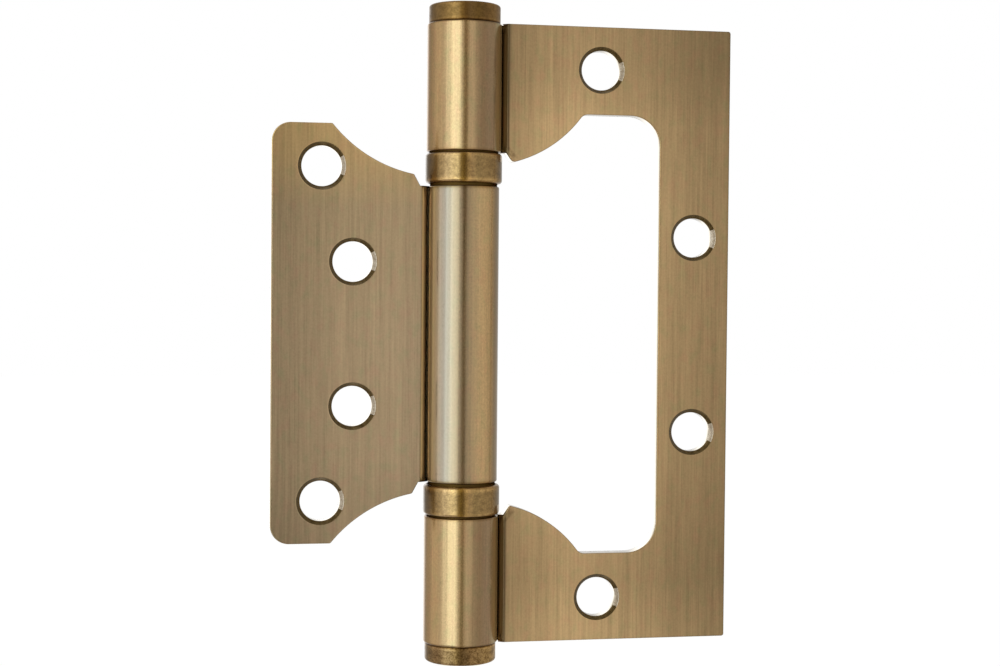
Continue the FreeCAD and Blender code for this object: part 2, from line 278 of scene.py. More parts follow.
# Top cap: painted highlight and dark reflected line across it, brighter on the right
TOP_CAP_PAINTED_LIGHT = (
    ("x", (
        (-4.4, 1.0), (-2.7, 1.15), (-2.0, 1.05), (-1.4, (0.85, 0.75, 0.5)), (-0.8, (0.83, 0.71, 0.52)),
        (-0.1, (0.8, 0.76, 0.72)), (1.2, (0.75, 0.7, 0.5)), (2.6, (1.12, 1.05, 1.05)), (4.1, 1.75),
        (5.7, 1.8),
    )),
    CAP_SEAM_PAINTED_LIGHT,
)
# Bottom cap: painted shade on the left and in the middle, brighter on the right
BOTTOM_CAP_PAINTED_LIGHT = (
    ("x", (
        (-5.4, (0.72, 0.65, 0.5)), (-4.4, (0.68, 0.6, 0.54)), (-3.3, 0.93), (-2.4, 0.85),
        (-1.4, (0.72, 0.68, 0.5)), (-0.8, (0.59, 0.51, 0.36)), (0.0, (0.64, 0.57, 0.46)),
        (1.2, (1.0, 0.9, 0.76)), (2.6, (1.3, 1.24, 1.1)), (4.1, (1.85, 1.8, 1.5)), (5.7, (1.95, 1.9, 1.6)),
    )),
    CAP_SEAM_PAINTED_LIGHT,
)

# How much bare metal shows on the door leaf's knuckle, by stops of x and share
DOOR_KNUCKLE_WORN = (
    (-5.7, 0.4), (-5.3, 0.6), (-4.5, 0.4), (-3.9, 0.6), (-3.5, 0.75), (-3.0, 0.6), (-2.4, 0.35), (-1.5, 0.2),
    (0.2, 0.0), (5.7, 0.0),
)


def box_mm(node):
    """A node's lowest and highest corner, in millimetres."""
    low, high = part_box(node)
    return np.array(low) / MM, np.array(high) / MM


def arc_points(centre, radius, start, end, step=ARC_STEP):
    """Points on an arc: the centre plus the radius times the cosine and sine of evenly spaced degrees."""
    count = max(3, math.ceil(abs(end - start) / step) + 1)
    turn = np.radians(np.linspace(start, end, count))
    return np.column_stack((centre[0] + radius * np.cos(turn), centre[1] + radius * np.sin(turn)))


def direction(centre, point):
    """The angle in degrees at which a point is seen from a centre."""
    return math.degrees(math.atan2(point[1] - centre[1], point[0] - centre[0]))


def drop_doubles(points):
    """The points of a path without those that repeat the one before."""
    step = np.hypot(*np.diff(points, axis=0).T)
    return points[np.concatenate(([True], step > LEAST_STEP))]


def at_height(columns, height):
    """Points of the strip at some columns, all at one height."""
    return np.column_stack((columns, np.full(len(columns), height)))


def columns_between(columns, low, high):
    """The columns that lie between two places on the strip, from the higher place to the lower."""
    return columns[(columns > low) & (columns < high)][::-1]


def strip_curves(bore, wall, neck_corner, reach, match_x):
    """The front and back lines of a rolled leaf's section, as tables against one strip coordinate.

    The front line is flat, turns in with a small corner, leans down to the bore and follows the bore round to
    the free end. The back line is flat, bends through a fillet and follows the outside round. The strip
    coordinate is x as far as match_x. From there on it runs with the mean length of the two lines between
    shared marks: where both reach the facing radius, where both join the roll, and the free end.
    """
    outer = bore + wall
    corner_distance = math.hypot(NECK_REACH, HALF_SHEET)
    lean = math.atan2(HALF_SHEET, NECK_REACH) + math.asin(SEAM_LEAN * bore / corner_distance)
    seam = lean - math.asin((SEAM_LEAN * bore - SEAM_GAP) / outer)
    chord = bore * math.sqrt(1 - SEAM_LEAN**2)
    run = NECK_REACH * math.cos(lean) + HALF_SHEET * math.sin(lean) - chord
    root = (NECK_REACH - run * math.cos(lean), run * math.sin(lean) - HALF_SHEET)
    end_angle = 360 - math.degrees(seam)
    corner = (NECK_REACH + neck_corner * math.tan(lean / 2), neck_corner - HALF_SHEET)
    back_y = HALF_SHEET + NECK_BACK_RADIUS
    back = (math.sqrt((outer + NECK_BACK_RADIUS) ** 2 - back_y**2), back_y)
    back_angle = direction((0, 0), back)

    corner_arc = arc_points(corner, neck_corner, -90, -90 - math.degrees(lean), TABLE_STEP)
    share = np.linspace(0, 1, LEAN_POINTS)[1:-1, None]
    lean_line = corner_arc[-1] * (1 - share) + np.array(root) * share
    bore_arc = arc_points((0, 0), bore, direction((0, 0), root), end_angle, TABLE_STEP)
    front_bend = np.vstack(([(reach, -HALF_SHEET)], corner_arc, lean_line))
    back_fillet = arc_points(back, NECK_BACK_RADIUS, 270, 180 + back_angle, TABLE_STEP)
    back_bend = np.vstack(([(reach, HALF_SHEET)], back_fillet))
    outer_arc = arc_points((0, 0), outer, back_angle, end_angle, TABLE_STEP)

    marks = []
    lines = []
    for bend, roll in ((front_bend, bore_arc), (back_bend, outer_arc)):
        line = np.vstack((bend, roll))
        length = np.concatenate(([0], np.cumsum(np.hypot(*np.diff(line, axis=0).T))))
        count = len(bend)
        match = np.interp(-match_x, -bend[:, 0], length[:count])
        faced = np.interp(-FACING_RADIUS, -np.hypot(*bend.T), length[:count])
        marks.append(np.array([match, faced, length[count], length[-1]]))
        lines.append((line, length))
    along = match_x - np.concatenate(([0], np.cumsum(np.diff(np.mean(marks, axis=0)))))
    tables = []
    for (line, length), mark in zip(lines, marks):
        strip = np.where(length <= mark[0], line[:, 0], np.interp(length, mark, along))
        tables.append((strip[::-1], line[::-1, 0], line[::-1, 1]))

    faced, joined, free_end = along[1:]
    columns = np.concatenate((
        np.linspace(corner_arc[0, 0], corner_arc[-1, 0], max(3, round(math.degrees(lean) / BEND_STEP))),
        back[0] - NECK_BACK_RADIUS * np.sin(np.radians(np.arange(0, 60, BEND_STEP))),
        np.linspace(faced, joined, JOIN_POINTS),
        np.linspace(joined, free_end, round((end_angle - back_angle) / ROLL_STEP)),
    ))
    columns = np.unique(np.round(columns, 4))
    columns = columns[np.concatenate(([True], np.diff(columns) > LEAST_COLUMN))]
    return {"tables": tables, "faced": faced, "joined": joined, "free_end": free_end, "columns": columns}


def wrap(strip, curves, depth, side):
    """Points of the leaf from strip points (coordinate, height) and a depth behind the front face.

    A point is the front line's place plus the depth's share of the step from the front line to the back line.
    """
    (front_w, front_x, front_y), (back_w, back_x, back_y) = curves["tables"]
    w = strip[..., 0]
    share = depth / SHEET
    x = np.interp(w, front_w, front_x) * (1 - share) + np.interp(w, back_w, back_x) * share
    y = np.interp(w, front_w, front_y) * (1 - share) + np.interp(w, back_w, back_y) * share
    return np.stack((side * x, y, strip[..., 1]), axis=-1)


def inward(loop):
    """Mitred normals to a closed path's left: the sum of both edge normals over one plus their product."""
    ahead = np.roll(loop, -1, axis=0) - loop
    ahead /= np.hypot(*ahead.T)[:, None]
    after = np.column_stack((-ahead[:, 1], ahead[:, 0]))
    before = np.roll(after, 1, axis=0)
    return (before + after) / (1 + np.sum(before * after, axis=1))[:, None]


def edge_profile(front_round, back_round, rim_wide=0.0, rim_deep=0.0):
    """The wall of a cut edge from the front face to the back face, as insets and depths.

    Each end is a quarter round: its inset is the radius times one less the sine, its depth the radius times
    one less the cosine. Where there is a countersink, the front round lies at its rim and the wall starts at
    its foot.
    """
    turn = np.linspace(0, math.pi / 2, ROUND_POINTS)
    front_inset = front_round * (1 - np.sin(turn)) + rim_wide
    front_depth = front_round * (1 - np.cos(turn))
    back_inset = back_round * (1 - np.sin(turn[::-1]))
    back_depth = SHEET - back_round * (1 - np.cos(turn[::-1]))
    foot_inset, foot_depth = [], []
    if rim_deep:
        foot_inset = [RIM_ROUND, RIM_ROUND / 4, 0.0]
        foot_depth = [rim_deep - RIM_ROUND, rim_deep, rim_deep + RIM_ROUND]
    front_support, back_support = front_inset[0] + SUPPORT, back_inset[-1] + SUPPORT
    inset = np.concatenate(([front_support], front_inset, foot_inset, back_inset, [back_support]))
    depth = np.concatenate(([0.0], front_depth, foot_depth, back_depth, [SHEET]))
    return inset, depth


def inside(points, loops):
    """Whether points lie between loops: a ray to the right crosses their edges an odd number of times."""
    crossings = np.zeros(len(points), int)
    for loop in loops:
        a, b = loop, np.roll(loop, -1, axis=0)
        rise = b[:, 1] - a[:, 1]
        spans = (a[:, 1] > points[:, 1:2]) != (b[:, 1] > points[:, 1:2])
        with np.errstate(divide="ignore", invalid="ignore"):
            cross_x = a[:, 0] + (points[:, 1:2] - a[:, 1]) * (b[:, 0] - a[:, 0]) / rise
        crossings += np.sum(spans & (points[:, 0:1] < cross_x), axis=1)
    return crossings % 2 == 1


def clearance(points, loops):
    """The distance from each point to the nearest edge of the loops."""
    least = np.full(len(points), np.inf)
    for loop in loops:
        a, b = loop, np.roll(loop, -1, axis=0)
        along = b - a
        share = np.sum((points[:, None] - a) * along, axis=2) / np.sum(along * along, axis=1)
        nearest = a + np.clip(share, 0, 1)[..., None] * along
        least = np.minimum(least, np.min(np.linalg.norm(points[:, None] - nearest, axis=2), axis=1))
    return least


def face_triangles(loops, spare):
    """Triangles between the loops and through the spare points, as indices into all of them in order."""
    points = np.vstack((*loops, spare))
    edges = []
    first = 0
    for loop in loops:
        index = np.arange(len(loop))
        edges.append(np.column_stack((first + index, first + (index + 1) % len(loop))))
        first += len(loop)
    found = delaunay_2d_cdt(points.tolist(), np.vstack(edges).tolist(), [], 0, 1e-6)
    source = np.array([origins[0] for origins in found[3]])
    triangles = source[np.array(found[2])]
    corners = points[triangles]
    turned = np.cross(corners[:, 1] - corners[:, 0], corners[:, 2] - corners[:, 0]) < 0
    triangles[turned] = triangles[turned][:, ::-1]
    return triangles[inside(corners.mean(axis=1), loops)]


def new_mesh(name, points, faces):
    """A smooth mesh object from points in millimetres and lists of faces."""
    mesh = bpy.data.meshes.new(name)
    mesh.from_pydata((points * MM).tolist(), [], faces)
    mesh.polygons.foreach_set("use_smooth", np.ones(len(mesh.polygons), bool))
    mesh.update()
    piece = bpy.data.objects.new(name, mesh)
    bpy.context.scene.collection.objects.link(piece)
    return piece


def leaf_paths(outline, holes):
    """Each closed path of a leaf, with its edge profile and, for a screw hole, the x of its middle."""
    paths = [(outline, edge_profile(FRONT_ROUND, BACK_ROUND), None)]
    sink = COUNTERSINK_RADIUS - HOLE_RADIUS
    for x, z in holes:
        for sign in (1, -1):
            circle = arc_points((x, sign * z), HOLE_RADIUS, 360, 0, 360 / HOLE_POINTS)[:-1]
            paths.append((circle, edge_profile(RIM_ROUND, BACK_ROUND, sink, sink), x))
    return paths


def wall_rings(path, profile, curves):
    """The strip points and depths of a wall: its path moved in along its normals by the profile's insets.

    Towards the rolled knuckle the outline's profile passes over to one with a larger round at its outer ends.
    """
    inset, depth = profile
    wide_inset, wide_depth = edge_profile(FRONT_ROUND, KNUCKLE_ROUND)
    faced, joined = curves["faced"], curves["joined"]
    rolled = np.clip((faced - path[:, 0]) / (faced - joined), 0, 1)
    if len(inset) == len(wide_inset):
        inset = inset[:, None] * (1 - rolled) + wide_inset[:, None] * rolled
        depth = depth[:, None] * (1 - rolled) + wide_depth[:, None] * rolled
    else:
        inset = inset[:, None] + np.zeros(len(path))
        depth = depth[:, None] + np.zeros(len(path))
    return path + inset[..., None] * inward(path), depth


def wall_zones(path, middle, rings, curves, side):
    """The zones of a wall's faces, ring by ring from the front face to the back.

    The faces next to the front and back, and an outline's front round, are finished as the surface. The rest
    of an outline and of a hole below its countersink is a cut edge. The countersink has painted shade, and a
    painted glint on its right side.
    """
    surface = np.where(path[:, 0] < curves["faced"], KNUCKLE, FLAT)
    edge = np.where(path[:, 0] < curves["faced"] - ON_LINE, KNUCKLE, CUT)
    zones = []
    for k in range(rings - 1):
        if k in (0, rings - 2) or (middle is None and k < ROUND_POINTS):
            zones.append(surface)
        elif middle is None or k > ROUND_POINTS + 1:
            zones.append(edge)
        else:
            # A countersink's right side gets a painted glint, the rest painted shade
            glint_side = side * (path[:, 0] - middle) > PAINTED_GLINT_SHARE * HOLE_RADIUS
            zones.append(np.where(glint_side, PAINTED_GLINT, PAINTED_SHADE_SINK))
    return zones


def leaf_mesh(name, outline, holes, curves, side):
    """A leaf: walls carried along its outline and hole rims, closed by a front and a back face.

    Wall points are the path's points moved in by the profile's insets at the profile's depths. All are then
    wrapped from the strip to the rolled shape, and each face is given its zone.
    """
    points, faces, zones, first = [], [], [], 0
    front_loops, back_loops, front_index, back_index = [], [], [], []
    for path, profile, middle in leaf_paths(outline, holes):
        strip, depth = wall_rings(path, profile, curves)
        rings, count = strip.shape[:2]
        points.append(wrap(strip, curves, depth, side).reshape(-1, 3))
        zones += wall_zones(path, middle, rings, curves, side)
        ring = np.arange(count)
        ahead = (ring + 1) % count
        for low in first + count * np.arange(rings - 1):
            high = low + count
            faces.append(np.column_stack((high + ring, high + ahead, low + ahead, low + ring)))
        front_loops.append(strip[0])
        back_loops.append(strip[-1])
        front_index.append(first + ring)
        back_index.append(first + (rings - 1) * count + ring)
        first += rings * count

    low_z, high_z = outline[:, 1].min(), outline[:, 1].max()
    rows = np.linspace(low_z, high_z, round((high_z - low_z) / ROW_STEP))
    grid = np.stack(np.meshgrid(curves["columns"], rows), axis=-1).reshape(-1, 2)
    grid = grid[inside(grid, front_loops)]
    front, back = (front_loops, front_index, 0.0, 1), (back_loops, back_index, SHEET, -1)
    for loops, index, depth, turn in (front, back):
        spare = grid[clearance(grid, loops) > ROW_STEP / 4]
        spare = spare[inside(spare, loops)]
        triangles = face_triangles(loops, spare)
        index = np.concatenate((*index, first + np.arange(len(spare))))
        faces.append(index[triangles][:, ::turn])
        middles = np.vstack((*loops, spare))[triangles].mean(axis=1)
        zones.append(np.where(middles[:, 0] < curves["faced"], KNUCKLE, FLAT))
        points.append(wrap(spare, curves, np.full(len(spare), depth), side))
        first += len(spare)
    faces = [face[::-1] if side < 0 else face for block in faces for face in block.tolist()]
    piece = new_mesh(name, np.vstack(points), faces)
    piece.data.polygons.foreach_set("material_index", np.concatenate(zones).astype(np.int32))
    return piece


def line_circle_round(line_point, line_end, offset, centre, reach, near):
    """The centre of a round between a line and a circle, from its distances to the line and to the centre.

    It solves |start + t along - centre| = reach for the t that lies nearest to a given point.
    """
    start, end = np.array(line_point), np.array(line_end)
    along = (end - start) / np.linalg.norm(end - start)
    start = start + offset * np.array([-along[1], along[0]])
    away = start - np.array(centre)
    half = away @ along
    root = math.sqrt(half**2 - away @ away + reach**2)
    options = [start + (-half + sign * root) * along for sign in (1, -1)]
    return min(options, key=lambda point: np.linalg.norm(point - np.array(near)))


def round_between(centre, radius, foot_a, foot_b):
    """The short arc of a round from the direction of one foot to that of the other."""
    start, end = direction(centre, foot_a), direction(centre, foot_b)
    end = start + (end - start + 180) % 360 - 180
    return arc_points(centre, radius, start, end)


def foot_on_line(point, line_point, line_end):
    """The point of a line nearest to a point."""
    start, end = np.array(line_point), np.array(line_end)
    along = (end - start) / np.linalg.norm(end - start)
    return start + ((point - start) @ along) * along


def foot_on_circle(point, centre, radius):
    """The point of a circle in line with its centre and a point."""
    away = point - np.array(centre)
    return np.array(centre) + away * radius / np.linalg.norm(away)


def frame_outline(reach, half_length, curves):
    """The frame leaf's outline on the strip, from its outer edge round the knuckle and lobe to the window."""
    upper = frame_half(reach, half_length, curves, UPPER_TIP_RADIUS)
    lower = frame_half(reach, half_length, curves, LOWER_TIP_RADIUS)[::-1] * (1, -1)
    return drop_doubles(np.vstack((upper, lower[1:-1])))


def frame_half(reach, half_length, curves, tip_radius):
    """The upper half of the frame leaf's outline, with the radius of its lobe's tip.

    A tip too small for the leaf's edge round is cut straight.
    """
    columns, bend, free_end = curves["columns"], curves["faced"], curves["free_end"]
    window_edge, window_end = reach - FRAME_STRIP, half_length - FRAME_ARM
    tip = (LOBE_TIP_X, LOBE_CENTRE[1] - math.sqrt(LOBE_RADIUS**2 - (LOBE_TIP_X - LOBE_CENTRE[0]) ** 2))
    foot = (LOBE_FOOT_X, FRAME_KNUCKLE_END)
    tip_round = line_circle_round(foot, tip, tip_radius, LOBE_CENTRE, LOBE_RADIUS - tip_radius, tip)
    tip_line = foot_on_line(tip_round, foot, tip)
    tip_arc = foot_on_circle(tip_round, LOBE_CENTRE, LOBE_RADIUS)
    tip_path = [tip_line, tip_arc]
    if tip_radius > FRONT_ROUND + SUPPORT:
        tip_path = round_between(tip_round, tip_radius, tip_line, tip_arc)
    root_z = window_end - LOBE_ROOT_RADIUS
    root_reach = LOBE_RADIUS + LOBE_ROOT_RADIUS
    root_x = LOBE_CENTRE[0] + math.sqrt(root_reach**2 - (LOBE_CENTRE[1] - root_z) ** 2)
    root_round = np.array([root_x, root_z])
    root_arc = foot_on_circle(root_round, LOBE_CENTRE, LOBE_RADIUS)
    lobe_start, lobe_end = direction(LOBE_CENTRE, tip_arc), direction(LOBE_CENTRE, root_arc)
    faced = half_length - KNUCKLE_FACING
    top_columns = columns_between(columns, bend + BEND_CLEAR, reach)
    knuckle_columns = columns_between(columns, free_end + END_CLEAR, bend - END_CLEAR)
    lower_columns = columns_between(columns, free_end + END_CLEAR, LOBE_FOOT_X - FOOT_CLEAR)[::-1]
    rows = np.linspace(faced, FRAME_KNUCKLE_END, round((faced - FRAME_KNUCKLE_END) / ROW_STEP))
    corner = (reach - FRAME_CORNER_RADIUS, half_length - FRAME_CORNER_RADIUS)
    window_corner = (window_edge - WINDOW_CORNER_RADIUS, window_end - WINDOW_CORNER_RADIUS)
    return np.vstack((
        [(reach, 0)],
        arc_points(corner, FRAME_CORNER_RADIUS, 0, 90),
        at_height(top_columns, half_length),
        [(bend, half_length), (bend, faced)],
        at_height(knuckle_columns, faced),
        np.column_stack((np.full(len(rows), free_end), rows)),
        at_height(lower_columns, FRAME_KNUCKLE_END),
        [foot],
        tip_path,
        arc_points(LOBE_CENTRE, LOBE_RADIUS, lobe_start, lobe_end, LOBE_STEP),
        round_between(root_round, LOBE_ROOT_RADIUS, root_arc, root_round + (0, LOBE_ROOT_RADIUS)),
        arc_points(window_corner, WINDOW_CORNER_RADIUS, 90, 0, CORNER_STEP),
        [(window_edge, 0)],
    ))


def door_outline(reach, end, curves):
    """The door leaf's outline on the strip, alike above and below: outer edge, relief, shoulder, knuckle."""
    columns, free_end = curves["columns"], curves["free_end"]
    shoulder_z = RELIEF_CENTRE[1] - math.sqrt(RELIEF_RADIUS**2 - (SHOULDER_X - RELIEF_CENTRE[0]) ** 2)
    shoulder, foot = (SHOULDER_X, shoulder_z), (SHOULDER_FOOT_X, DOOR_KNUCKLE_END)
    outer = RELIEF_RADIUS + SMALL_CORNER_RADIUS
    top_z = end - SMALL_CORNER_RADIUS
    top_round = np.array([RELIEF_CENTRE[0] + math.sqrt(outer**2 - (RELIEF_CENTRE[1] - top_z) ** 2), top_z])
    top_arc = foot_on_circle(top_round, RELIEF_CENTRE, RELIEF_RADIUS)
    side_round = line_circle_round(shoulder, foot, SMALL_CORNER_RADIUS, RELIEF_CENTRE, outer, shoulder)
    side_arc = foot_on_circle(side_round, RELIEF_CENTRE, RELIEF_RADIUS)
    side_line = foot_on_line(side_round, shoulder, foot)
    relief_start, relief_end = direction(RELIEF_CENTRE, top_arc), direction(RELIEF_CENTRE, side_arc)
    corner = (reach - DOOR_CORNER_RADIUS, end - DOOR_CORNER_RADIUS)
    inner_columns = columns_between(columns, free_end + END_CLEAR, SHOULDER_FOOT_X - FOOT_CLEAR)
    rows = np.linspace(DOOR_KNUCKLE_END, 0, round(DOOR_KNUCKLE_END / ROW_STEP))
    upper = np.vstack((
        [(reach, 0)],
        arc_points(corner, DOOR_CORNER_RADIUS, 0, 90),
        round_between(top_round, SMALL_CORNER_RADIUS, top_round + (0, SMALL_CORNER_RADIUS), top_arc),
        arc_points(RELIEF_CENTRE, RELIEF_RADIUS, relief_start, relief_end, LOBE_STEP),
        round_between(side_round, SMALL_CORNER_RADIUS, side_arc, side_line),
        [foot],
        at_height(inner_columns, DOOR_KNUCKLE_END),
        np.column_stack((np.full(len(rows), free_end), rows)),
    ))
    lower = upper[::-1] * (1, -1)
    return drop_doubles(np.vstack((upper, lower[1:-1])))


def merge_doubles(piece):
    """Join the points that lie on each other, which closes the poles of a turned body."""
    mesh = bmesh.new()
    mesh.from_mesh(piece.data)
    bmesh.ops.remove_doubles(mesh, verts=mesh.verts, dist=LEAST_STEP * MM)
    mesh.to_mesh(piece.data)
    mesh.free()
    piece.data.update()


def turned_mesh(name, profile):
    """A body of revolution: a closed profile of radii and heights carried round the pin axis.

    A point is the radius times the cosine and sine of its angle, at its height. Points that meet on the axis
    are joined.
    """
    turn = np.linspace(0, 2 * math.pi, LATHE_POINTS, endpoint=False)
    radius, height = profile[:, 0:1], profile[:, 1:2]
    x, y = radius * np.cos(turn), radius * np.sin(turn)
    points = np.stack((x, y, height + np.zeros_like(turn)), axis=-1).reshape(-1, 3)
    ring = np.arange(LATHE_POINTS)
    ahead = (ring + 1) % LATHE_POINTS
    faces = []
    count = len(profile)
    for k in range(count):
        low, high = k * LATHE_POINTS, (k + 1) % count * LATHE_POINTS
        faces += np.column_stack((low + ring, low + ahead, high + ahead, high + ring)).tolist()
    piece = new_mesh(name, points, faces)
    merge_doubles(piece)
    return piece


def quarter(centre, radius, start, end):
    """A quarter round of a turned profile."""
    return arc_points(centre, radius, start, end, RIM_STEP)


def sleeve_profile(outer, bore, low, high):
    """The sleeve's section, anticlockwise from the bore's foot, with larger rounds outside than inside."""
    rim, lip = SLEEVE_RIM, SLEEVE_LIP
    return drop_doubles(np.vstack((
        quarter((bore + lip, low + lip), lip, 180, 270),
        quarter((outer - rim, low + rim), rim, 270, 360),
        quarter((outer - rim, high - rim), rim, 0, 90),
        quarter((bore + lip, high - lip), lip, 90, 180),
    )))


def cap_profile(radius, shank, seat, low, high):
    """The top cap's section from the axis at the shank's foot, round the disc and back to the axis.

    Support points on both sides of each round keep the flats beside it flat in the shading.
    """
    rim, under, chamfer = CAP_RIM, CAP_UNDER, SHANK_CHAMFER
    near, far = 0.1, 0.15
    return drop_doubles(np.vstack((
        [(0, low), (shank - chamfer - near, low), (shank - chamfer, low), (shank, low + chamfer)],
        [(shank, low + chamfer + near), (shank, seat), (shank + near, seat), (radius - under - near, seat)],
        quarter((radius - under, seat + under), under, 270, 360),
        [(radius, seat + under + far), (radius, high - rim - far)],
        quarter((radius - rim, high - rim), rim, 0, 90),
        [(radius - rim - far, high), (0, high)],
    )))


def link(tree, value, socket):
    """Join a socket to an input, or set the input's own value."""
    if isinstance(value, bpy.types.NodeSocket):
        tree.links.new(value, socket)
    else:
        socket.default_value = value


def add(tree, kind, inputs=(), **settings):
    """A new node with its settings and its inputs, each by name or by place."""
    made = tree.nodes.new(kind)
    for key, value in settings.items():
        setattr(made, key, value)
    for key, value in dict(inputs).items():
        link(tree, value, made.inputs[key])
    return made


def maths(tree, operation, a, b=0.0, clamp=False):
    """The result of a math node."""
    return add(tree, "ShaderNodeMath", {0: a, 1: b}, operation=operation, use_clamp=clamp).outputs[0]


def mix(tree, factor, a, b, blend="MIX"):
    """The result of a colour mix, by the places of its colour sockets."""
    made = add(tree, "ShaderNodeMix", {"Factor": factor}, data_type="RGBA", blend_type=blend)
    link(tree, a, made.inputs[6])
    link(tree, b, made.inputs[7])
    return made.outputs[2]


def noise(tree, scale, detail, roughness, place=(0, 0, 0)):
    """Noise on object coordinates, stretched by a scale in cells per metre along each axis."""
    coordinates = add(tree, "ShaderNodeTexCoord").outputs["Object"]
    mapped = add(tree, "ShaderNodeMapping", {"Vector": coordinates, "Scale": scale, "Location": place})
    inputs = {"Vector": mapped.outputs[0], "Scale": 1.0, "Detail": detail, "Roughness": roughness}
    return add(tree, "ShaderNodeTexNoise", inputs).outputs["Fac"]


def spread(tree, value, low, high, to_low=0.0, to_high=1.0):
    """A value mapped from one range to another and kept within it."""
    inputs = {"Value": value, 1: low, 2: high, 3: to_low, 4: to_high}
    return add(tree, "ShaderNodeMapRange", inputs, clamp=True).outputs[0]


def grey(value):
    """A neutral colour."""
    return (value, value, value, 1.0)


def new_material(name):
    """A material, with its node tree and its one shader."""
    made = bpy.data.materials.new(name)
    made.use_nodes = True
    tree = made.node_tree
    shader = tree.nodes["Principled BSDF"]
    return made, tree, shader


def ramp(tree, value, stops):
    """A colour that follows a value from stop to stop, straight between them. Its levels may be above one."""
    low, high = stops[0][0], stops[-1][0]
    top = max(np.max(level) for place, level in stops)
    made = add(tree, "ShaderNodeValToRGB", {0: spread(tree, value, low, high)})
    elements = made.color_ramp.elements
    for place, level in stops[1:-1]:
        elements.new((place - low) / (high - low))
    for element, (place, level) in zip(elements, stops):
        element.color = (*(np.full(3, level) / top), 1.0)
    return add(tree, "ShaderNodeVectorMath", {0: made.outputs[0], "Scale": top}, operation="SCALE").outputs[0]


def object_place(tree, axis):
    """One object coordinate in millimetres: x, y or z, or |z| for the distance from mid-height."""
    coordinates = add(tree, "ShaderNodeTexCoord").outputs["Object"]
    split = add(tree, "ShaderNodeSeparateXYZ", {0: coordinates})
    value = maths(tree, "MULTIPLY", split.outputs["xyz".index(axis.strip("|"))], 1 / MM)
    return maths(tree, "ABSOLUTE", value) if axis == "|z|" else value


def paint_light(tree, colour, falls):
    """A colour times ramps of painted light and shade, each along an axis, by stops of millimetres and
    brightness.
    """
    for axis, stops in falls:
        colour = mix(tree, 1.0, colour, ramp(tree, object_place(tree, axis), stops), "MULTIPLY")
    return colour


def brushed_bronze(
    name, light, dark, rough, falls, coat=0.0, coat_ior=1.5, worn=(), speckle=0.28, bands=0.06
):
    """Brushed plated bronze: fine hairlines along the pin, wider soft bands and faint warm and cool patches.

    falls paints highlights and shade into the finish along an axis. worn shows bare metal through it, by
    stops of x and share. speckle is the share of fine grain among the hairlines, and bands how much the soft
    bands differ.
    """
    made, tree, shader = new_material(name)
    hairline = noise(tree, (3600, 3600, 85), 2.0, 0.6)
    grain = noise(tree, (3000, 3000, 3000), 1.0, 0.5)
    grain = maths(tree, "MULTIPLY", grain, speckle)
    hairline = maths(tree, "ADD", maths(tree, "MULTIPLY", hairline, 1 - speckle), grain)
    band = noise(tree, (800, 800, 10), 2.0, 0.5, (3, 1, 2))
    patch = noise(tree, (650, 650, 420), 1.0, 0.5, (7, 5, 1))
    cool = noise(tree, (700, 700, 450), 1.0, 0.5, (1, 9, 4))
    colour = mix(tree, spread(tree, hairline, 0.3, 0.7), dark, light)
    colour = mix(tree, spread(tree, patch, 0.5, 0.75, 0.0, 0.6), colour, WARM_TINT, "MULTIPLY")
    colour = mix(tree, spread(tree, cool, 0.5, 0.75, 0.0, 0.6), colour, COOL_TINT, "MULTIPLY")
    if worn:
        worn_share = ramp(tree, object_place(tree, "x"), worn)
        streaks = spread(tree, hairline, 0.2, 0.6, 0.8, 1.0)
        colour = mix(tree, maths(tree, "MULTIPLY", worn_share, streaks), colour, WORN)
    colour = mix(tree, 1.0, colour, spread(tree, band, 0.3, 0.7, 1 - bands, 1 + bands), "MULTIPLY")
    link(tree, paint_light(tree, colour, falls), shader.inputs["Base Color"])
    shader.inputs["Metallic"].default_value = 1.0
    shader.inputs["Coat Weight"].default_value = coat
    shader.inputs["Coat Roughness"].default_value = rough * 0.8
    shader.inputs["Coat IOR"].default_value = coat_ior
    link(tree, spread(tree, hairline, 0.2, 0.8, rough - 0.03, rough + 0.05), shader.inputs["Roughness"])
    bump = add(tree, "ShaderNodeBump", {"Strength": 0.2, "Distance": 0.000006, "Height": hairline})
    link(tree, bump.outputs[0], shader.inputs["Normal"])
    return made


def cut_metal(name, light, dark, rough):
    """Metal cut through the sheet, in an edge or a screw hole, with marks along its thickness; also painted
    shade and glint.
    """
    made, tree, shader = new_material(name)
    marks = noise(tree, (1800, 120, 1800), 2.0, 0.6)
    link(tree, mix(tree, spread(tree, marks, 0.3, 0.7), dark, light), shader.inputs["Base Color"])
    shader.inputs["Metallic"].default_value = 1.0
    link(tree, spread(tree, marks, 0.3, 0.7, rough - 0.05, rough + 0.06), shader.inputs["Roughness"])
    return made


def grainy_bronze(name, light, dark, rough, falls, coat, mild):
    """Turned, unpolished bronze: a dark mottle with fine grain.

    falls paints highlights and shade into it along an axis. mild is half the range of noise that the tones
    are spread over, so a larger one gives a softer mottle.
    """
    made, tree, shader = new_material(name)
    grain = noise(tree, (4200, 4200, 5200), 2.0, 0.6)
    mottle = noise(tree, (1100, 1100, 1400), 3.0, 0.6, (4, 2, 8))
    tone = maths(tree, "ADD", maths(tree, "MULTIPLY", grain, 0.5), maths(tree, "MULTIPLY", mottle, 0.5))
    colour = mix(tree, spread(tree, tone, 0.5 - mild, 0.5 + mild), dark, light)
    link(tree, paint_light(tree, colour, falls), shader.inputs["Base Color"])
    shader.inputs["Metallic"].default_value = 1.0
    shader.inputs["Coat Weight"].default_value = coat
    shader.inputs["Coat Roughness"].default_value = rough * 0.8
    link(tree, spread(tree, mottle, 0.3, 0.7, rough + 0.05, rough - 0.04), shader.inputs["Roughness"])
    bump = add(tree, "ShaderNodeBump", {"Strength": 0.3, "Distance": 0.00001, "Height": grain})
    link(tree, bump.outputs[0], shader.inputs["Normal"])
    return made


